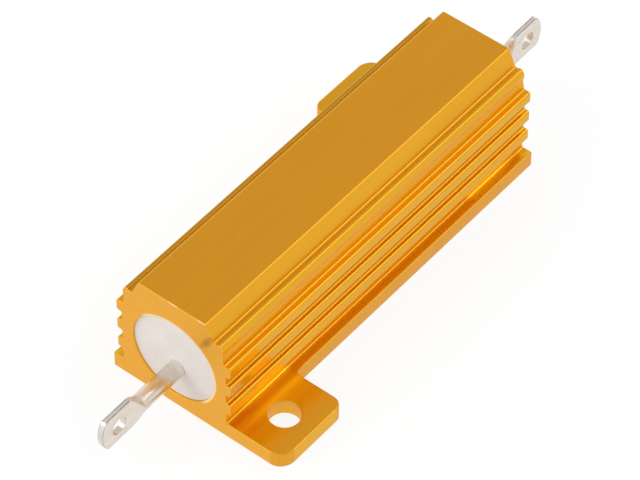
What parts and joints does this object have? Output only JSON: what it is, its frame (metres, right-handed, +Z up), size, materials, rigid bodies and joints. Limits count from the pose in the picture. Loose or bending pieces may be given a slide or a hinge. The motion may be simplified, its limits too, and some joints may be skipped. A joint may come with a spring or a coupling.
{
  "type": "aluminium housed power resistor",
  "caption": "Wirewound power resistor in a ribbed anodised aluminium housing with diagonal bolt-down feet and a flat solder lug at each end.",
  "frame": {"origin": "centre of the part's length and width, on the plane of the base that lies on the chassis", "axes": "+Y along the body towards the far lug, +Z up from the base, +X across the body towards the near foot's side"},
  "size_m": [0.0288, 0.0734, 0.0155],
  "materials": {
    "gold_anodised": "gold anodised, satin",
    "cement": "off-white silicone cement",
    "tinned": "tinned, satin to bright",
    "ceramic": "unglazed steatite",
    "resistance_alloy": "drawn, oxidised",
    "cap_steel": "nickel plated"
  },
  "bodies": {
    "root": {"housing": "gold_anodised", "cement_filling": "cement", "terminal_near": "tinned", "terminal_far": "tinned", "ceramic_core": "ceramic", "resistance_winding": "resistance_alloy", "end_cap_near": "cap_steel", "end_cap_far": "cap_steel"}
  },
  "joints": []
}
